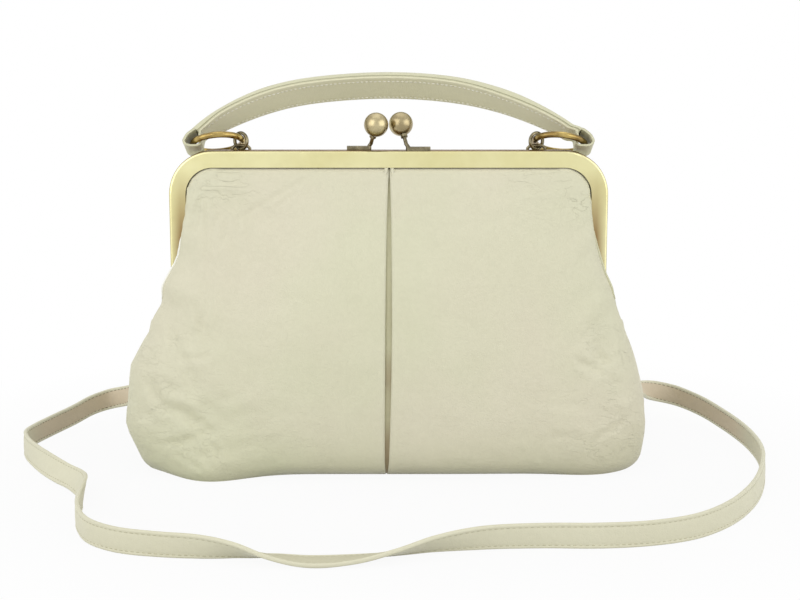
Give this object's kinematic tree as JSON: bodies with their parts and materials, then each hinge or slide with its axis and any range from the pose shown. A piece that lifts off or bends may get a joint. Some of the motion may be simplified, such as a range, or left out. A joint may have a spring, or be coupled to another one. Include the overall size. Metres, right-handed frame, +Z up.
{
  "type": "kiss lock frame purse",
  "caption": "Soft leather purse hung in two hinged metal channels, with a kiss lock, a padded swinging handle and a loose shoulder strap.",
  "frame": {"origin": "middle of the flat base, on the resting face", "axes": "+Z up, front looks to -Y, +X along the frame"},
  "size_m": [0.4374, 0.2963, 0.2254],
  "materials": {
    "leather": "soft pebbled",
    "handle_lining_leather": "smooth",
    "frame_metal": "pale brushed gold",
    "antique_brass": "antique, polished",
    "dark_brass": "dark antique",
    "lining_cloth": "woven",
    "padding": "foam",
    "board": "pressed fibre board",
    "paper_cord": "twisted paper"
  },
  "bodies": {
    "bag": {"hinge_rivet_left": "antique_brass", "hinge_rivet_right": "antique_brass", "front_panel_lower": "leather", "rear_panel_lower": "leather", "gusset_left": "leather", "gusset_right": "leather", "base_panel": "leather", "base_board": "board", "lower_lining": "lining_cloth", "inner_pocket": "lining_cloth", "strap_tab_left": "leather", "strap_tab_right": "leather", "side_ring_left": "antique_brass", "side_ring_right": "antique_brass", "strap_hook_left": "antique_brass", "strap_hook_right": "antique_brass", "shoulder_strap": "leather"},
    "front_half": {"front_frame": "frame_metal", "front_channel_cord": "paper_cord", "front_panel_upper": "leather", "front_lining_upper": "lining_cloth", "front_lock_post": "dark_brass", "front_lock_ball": "antique_brass"},
    "rear_half": {"rear_frame": "frame_metal", "rear_channel_cord": "paper_cord", "rear_panel_upper": "leather", "rear_lining_upper": "lining_cloth", "rear_lock_post": "dark_brass", "rear_lock_ball": "antique_brass", "handle_eye_left": "dark_brass", "handle_eye_right": "dark_brass"},
    "handle": {"jump_ring_left": "dark_brass", "jump_ring_right": "dark_brass", "handle_ring_left": "antique_brass", "handle_ring_right": "antique_brass", "handle_cover": "leather", "handle_filler": "padding", "handle_backing": "handle_lining_leather", "handle_loop_left": "leather", "handle_loop_right": "leather"}
  },
  "joints": [
    {"name": "front_open", "type": "hinge", "parent": "bag", "child": "front_half", "pos_m": [0, 0, 0.095], "axis": [1, 0, 0], "range_deg": [0, 40]},
    {"name": "rear_open", "type": "hinge", "parent": "bag", "child": "rear_half", "pos_m": [0, 0, 0.095], "axis": [-1, 0, 0], "range_deg": [0, 40]},
    {"name": "handle_swing", "type": "hinge", "parent": "rear_half", "child": "handle", "pos_m": [0, 0.0087, 0.184], "axis": [1, 0, 0], "range_deg": [-50, 20]}
  ],
  "couplings": [
    {"joint": "rear_open", "follows": "front_open", "ratio": 1}
  ]
}
